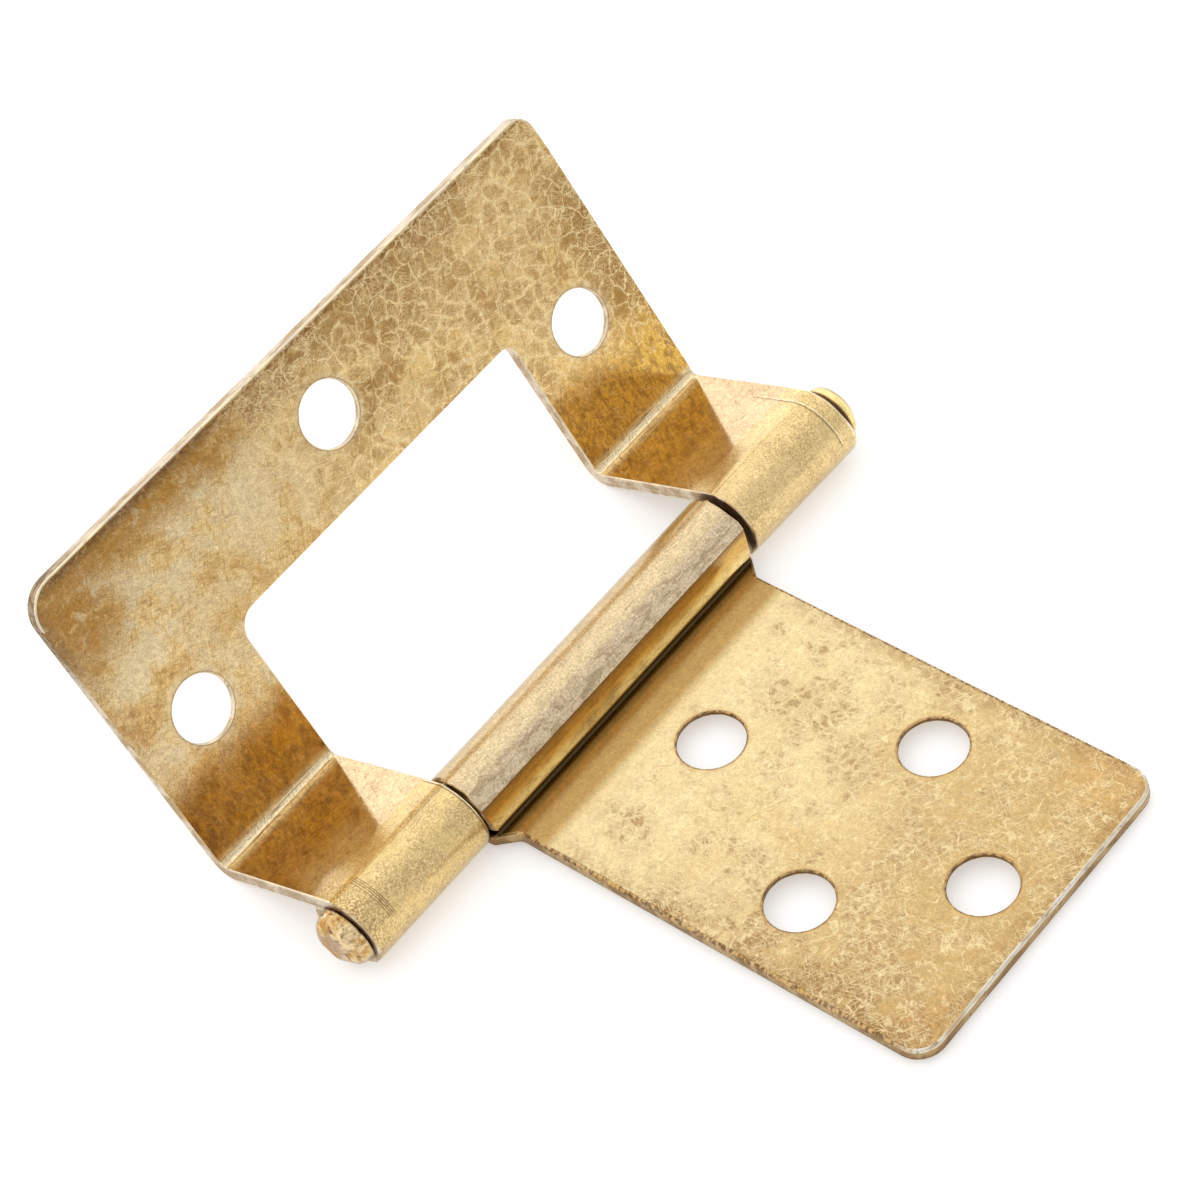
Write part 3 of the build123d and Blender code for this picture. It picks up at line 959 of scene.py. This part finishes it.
def onKnuckleEnd(edge):
    # the outer corner of a knuckle's end, away from the arm and from the ground
    for corner in edge.verts:
        outward = fromPin(corner.co / mm)
        if not knuckleEnd["inner"] <= outward.length <= knuckleEnd["outer"]:
            return False
        if corner.co.z < knuckleEnd["low"] * mm:
            return False
        if outward.dot(Vector(section["armAlong"])) > knuckleEnd["offArm"]:
            return False
    ends = [corner.co.x / mm for corner in edge.verts]
    return abs(ends[0] - ends[1]) < sheetEdges["tiny"] and abs(ends[1]) > knuckleEnd["beyond"]


def onFreeEdge(edge):
    # where the roll ends, too tight for a rim
    for corner in edge.verts:
        place = corner.co / mm
        if abs(place.x) > freeEdge["half"] or place.z < freeEdge["low"]:
            return False
        if place.y > freeEdge["far"] or place.y < freeEdge["near"]:
            return False
    return True


def onCurlEdge(face):
    # the roll's free edge, plated like the rest of it
    middle = face.calc_center_median() / mm
    return freeEdge["near"] < middle.y < freeEdge["platedFar"] and abs(middle.x) < freeEdge["platedHalf"]


def easeEdges(made, onOutline, outlineRim):
    # the outline of the face that shows is worn rounder than the rest
    joinFlatFaces(made)
    sharpest = radians(sheetEdges["sharpAngle"])
    sharp = [edge for edge in made.edges if edge.is_manifold and edge.calc_face_angle() > sharpest]
    sharp = [edge for edge in sharp if not onFreeEdge(edge)]
    ends = {edge for edge in sharp if onKnuckleEnd(edge)}
    outline = {edge for edge in sharp if edge not in ends and onOutline(edge)}
    others = [edge for edge in sharp if edge not in ends and edge not in outline]
    rims = roundOff(made, list(outline), outlineRim)
    rims |= roundOff(made, [edge for edge in others if edge.is_valid], sheetEdges["rim"])
    roundOff(made, [edge for edge in ends if edge.is_valid], sheetEdges["knuckleRim"])
    return {face for face in rims if face.is_valid}


def clearOfHoles(across, along, holes):
    # whether a place on the sheet is clear of the screw holes
    clear = sheetEdges["holeClear"] ** 2
    return all((across - middle[0]) ** 2 + (along - middle[1]) ** 2 > clear for middle in holes)


def markFaces(made, cutSide, rims):
    # slot 0 is the plated face, 1 the sheared edge and 2 the rim between them
    for face in made.faces:
        if face in rims and not onCurlEdge(face):
            face.material_index = 2
        elif cutSide(face):
            face.material_index = 1
        else:
            face.material_index = 0


def finishPiece(made, pieceName, materials, body, nodeName):
    mesh = bpy.data.meshes.new(pieceName)
    made.to_mesh(mesh)
    made.free()
    mesh.shade_smooth()
    piece = bpy.data.objects.new(pieceName, mesh)
    bpy.context.scene.collection.objects.link(piece)
    for material in materials:
        mesh.materials.append(material)
    normals = piece.modifiers.new("evenNormals", "WEIGHTED_NORMAL")
    normals.weight = 80
    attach(piece, body)
    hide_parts(nodeName)


plateAlong = Vector(section["plateAlong"])
plateOut = Vector(section["plateOut"])


def outerCutSide(face):
    # the sheared sides of the plate and, below it, of the arms and knuckles
    middle = face.calc_center_median() / mm
    if (middle - creaseMiddle).dot(plateAlong) > outerOutline["cutStart"]:
        return abs(face.normal.dot(plateOut)) < sheetEdges["aslant"]
    return abs(face.normal.x) > sheetEdges["aslant"]


def innerCutSide(face):
    middle = face.calc_center_median() / mm
    if middle.y < section["pinY"] - innerOutline["cutStart"]:
        return abs(face.normal.z) < sheetEdges["aslant"]
    return abs(face.normal.x) > sheetEdges["aslant"]


def onOuterOutline(edge):
    # the plate's seen face, down both sides to the fold
    for corner in edge.verts:
        place = corner.co / mm - creaseMiddle
        up = place.dot(plateAlong)
        if up < outerOutline["fold"] or place.dot(plateOut) < outerOutline["deep"]:
            return False
        if not clearOfHoles(place.x, up, outerPlating["holes"]):
            return False
        if abs(place.x) < outerOutline["side"] and up < outerOutline["top"]:
            return False
    return True


def onInnerOutline(edge):
    # the leaf's upper face, round its sides and far end
    for corner in edge.verts:
        place = corner.co / mm
        if place.z < innerOutline["deep"]:
            return False
        if not clearOfHoles(place.x, place.y, innerPlating["holes"]):
            return False
        if place.y > innerOutline["near"] and abs(place.x) < innerOutline["side"]:
            return False
    return True


def softStep(value, low, high):
    share = min(max((value - low) / (high - low), 0.0), 1.0)
    return share * share * (3 - 2 * share)


# The right knuckle's end is crimped and flares out from that line, most where it faces
collar = {
    "line": 23.72,
    "steps": (24.2, 24.7),
    "outward": 0.2,
    "endward": 0.16,
    "facing": 200.0,
    "half": 65.0,
    "widest": 3.2,
}


def flareCollar(made):
    for point in made.verts:
        place = point.co / mm
        outward = fromPin(place)
        if place.x < collar["line"] or outward.length > collar["widest"]:
            continue
        turned = degrees(atan2(outward.z, outward.y)) % 360
        share = softStep(abs(turned - collar["facing"]), collar["half"], collar["half"] * 0.25)
        share *= softStep(place.x, collar["line"], section["leafEndX"])
        flare = outward.normalized() * collar["outward"] + Vector((collar["endward"], 0, 0))
        point.co += flare * (share * mm)


outerSheet = mergedCopy("outer_leaf")
for place in (collar["line"], *collar["steps"]):
    cutAcross(outerSheet, place)
outerRims = easeEdges(outerSheet, onOuterOutline, sheetEdges["outerOutline"])
markFaces(outerSheet, outerCutSide, outerRims)
flareCollar(outerSheet)
outerMaterials = [outerMaterial, outerCut, burnishedRimHighlight]
finishPiece(outerSheet, "outerLeafSheet", outerMaterials, "outer", "outer_leaf")

innerSheet = mergedCopy("inner_leaf")
innerRims = easeEdges(innerSheet, onInnerOutline, sheetEdges["innerOutline"])
markFaces(innerSheet, innerCutSide, innerRims)
innerMaterials = [innerMaterial, innerCut, wornRimHighlight]
finishPiece(innerSheet, "innerLeafSheet", innerMaterials, "inner", "inner_leaf")

# The pin, its heads dented by the peening hammer and spread to one side
pinHeads = {
    "leftDent": 0.2,
    "rightDent": 0.05,
    "dentSize": 0.9,
    "startX": 25.3,
    "seatX": 25.12,
    "sidle": 0.15,
    "sidleWay": (0.0, -0.81, -0.586),
    "sidleRadii": (1.75, 2.2),
    "rightLift": 0.16,
}


def peenHeads(made):
    headFaces = [face for face in made.faces if abs(face.calc_center_median().x) > pinHeads["startX"] * mm]
    headEdges = list({edge for face in headFaces for edge in face.edges})
    bmesh.ops.subdivide_edges(made, edges=headEdges, cuts=2, use_grid_fill=True)
    made.normal_update()
    for point in made.verts:
        place = point.co / mm
        if abs(place.x) <= pinHeads["seatX"]:
            continue
        spread = softStep(fromPin(place).length, *pinHeads["sidleRadii"])
        moved = Vector(pinHeads["sidleWay"]) * pinHeads["sidle"] * spread
        if place.x > 0:
            moved.x = pinHeads["rightLift"]
        if abs(place.x) > pinHeads["startX"]:
            dent = 0.5 + 0.5 * noise.noise(place / pinHeads["dentSize"])
            moved -= point.normal * (dent * pinHeads["rightDent" if place.x > 0 else "leftDent"])
        point.co += moved * mm


pinRod = mergedCopy("hinge_pin")
peenHeads(pinRod)
finishPiece(pinRod, "pinRod", [pinMaterial], "outer", "hinge_pin")
print("pieces made")

# Floor and sky
studio = {
    "floorHalf": 3.0,
    "floorShade": 0.8,
    "floorGlow": 0.24,
    "floorLift": 0.16,
    "nearLevel": 0.77,
    "overheadRise": 0.39,
    "behindRise": 0.27,
}
white = (1.0, 1.0, 1.0, 1.0)


def makeFloor():
    made = bmesh.new()
    bmesh.ops.create_grid(made, x_segments=1, y_segments=1, size=studio["floorHalf"])
    mesh = bpy.data.meshes.new("studioFloor")
    made.to_mesh(mesh)
    made.free()
    floor = bpy.data.objects.new("studioFloor", mesh)
    bpy.context.scene.collection.objects.link(floor)
    material, tree, shader, point = startMaterial("palePaper")
    shade = studio["floorShade"]
    shader.inputs["Base Color"].default_value = (shade, shade, shade, 1.0)
    shader.inputs["Roughness"].default_value = 0.9
    shader.inputs["Specular IOR Level"].default_value = 0.0
    path = addNode(tree, "LightPath").outputs
    seen = mostOf(tree, path["Is Camera Ray"], path["Is Glossy Ray"], path["Is Transmission Ray"])
    lifted = mul(tree, path["Is Camera Ray"], studio["floorLift"])
    glow = calc(tree, "MULTIPLY_ADD", seen, studio["floorGlow"], lifted)
    tree.links.new(glow, shader.inputs["Emission Strength"])
    shader.inputs["Emission Color"].default_value = white
    mesh.materials.append(material)


def makeSky():
    world = bpy.data.worlds.new("studioSky")
    bpy.context.scene.world = world
    world.use_nodes = True
    tree = world.node_tree
    tree.nodes.clear()
    # dimmer before the hinge, brighter over and behind it
    back = axesOf(tree, addNode(tree, "TexCoord").outputs["Generated"])[1]
    level = calc(tree, "ADD", studio["nearLevel"], ease(tree, back, -0.75, 0.35, studio["overheadRise"]))
    level = calc(tree, "ADD", level, ease(tree, back, 0.55, 0.92, studio["behindRise"]))
    soft = addNode(tree, "Background", {"Color": white, "Strength": level}).outputs[0]
    plain = addNode(tree, "Background", {"Color": white, "Strength": 1.0}).outputs[0]
    seen = addNode(tree, "LightPath").outputs["Is Camera Ray"]
    both = addNode(tree, "MixShader", {0: seen, 1: soft, 2: plain})
    tree.links.new(both.outputs[0], addNode(tree, "OutputWorld").inputs[0])


# The photograph's viewpoint, in the part's frame; the place is in millimetres
photoView = {
    "rightward": (0.62804, -0.75097, -0.20399),
    "upward": (0.67053, 0.38921, 0.63158),
    "backward": (-0.3949, -0.53344, 0.74799),
    "place": (-107.788, -140.933, 216.415),
    "lens": 128.84,
    "sensor": 36,
    "nearest": 0.01,
    "farthest": 20,
}


def makeCamera():
    lens = bpy.data.cameras.new("photoView")
    lens.sensor_width = photoView["sensor"]
    lens.lens = photoView["lens"]
    lens.clip_start = photoView["nearest"]
    lens.clip_end = photoView["farthest"]
    camera = bpy.data.objects.new("photoView", lens)
    ways = (photoView["rightward"], photoView["upward"], photoView["backward"])
    turn = Matrix(ways).transposed().to_4x4()
    camera.matrix_world = Matrix.Translation(Vector(photoView["place"]) * mm) @ turn
    bpy.context.scene.collection.objects.link(camera)
    bpy.context.scene.camera = camera


makeFloor()
makeSky()
makeCamera()
bpy.context.scene.view_settings.view_transform = "Standard"
print("studio made")
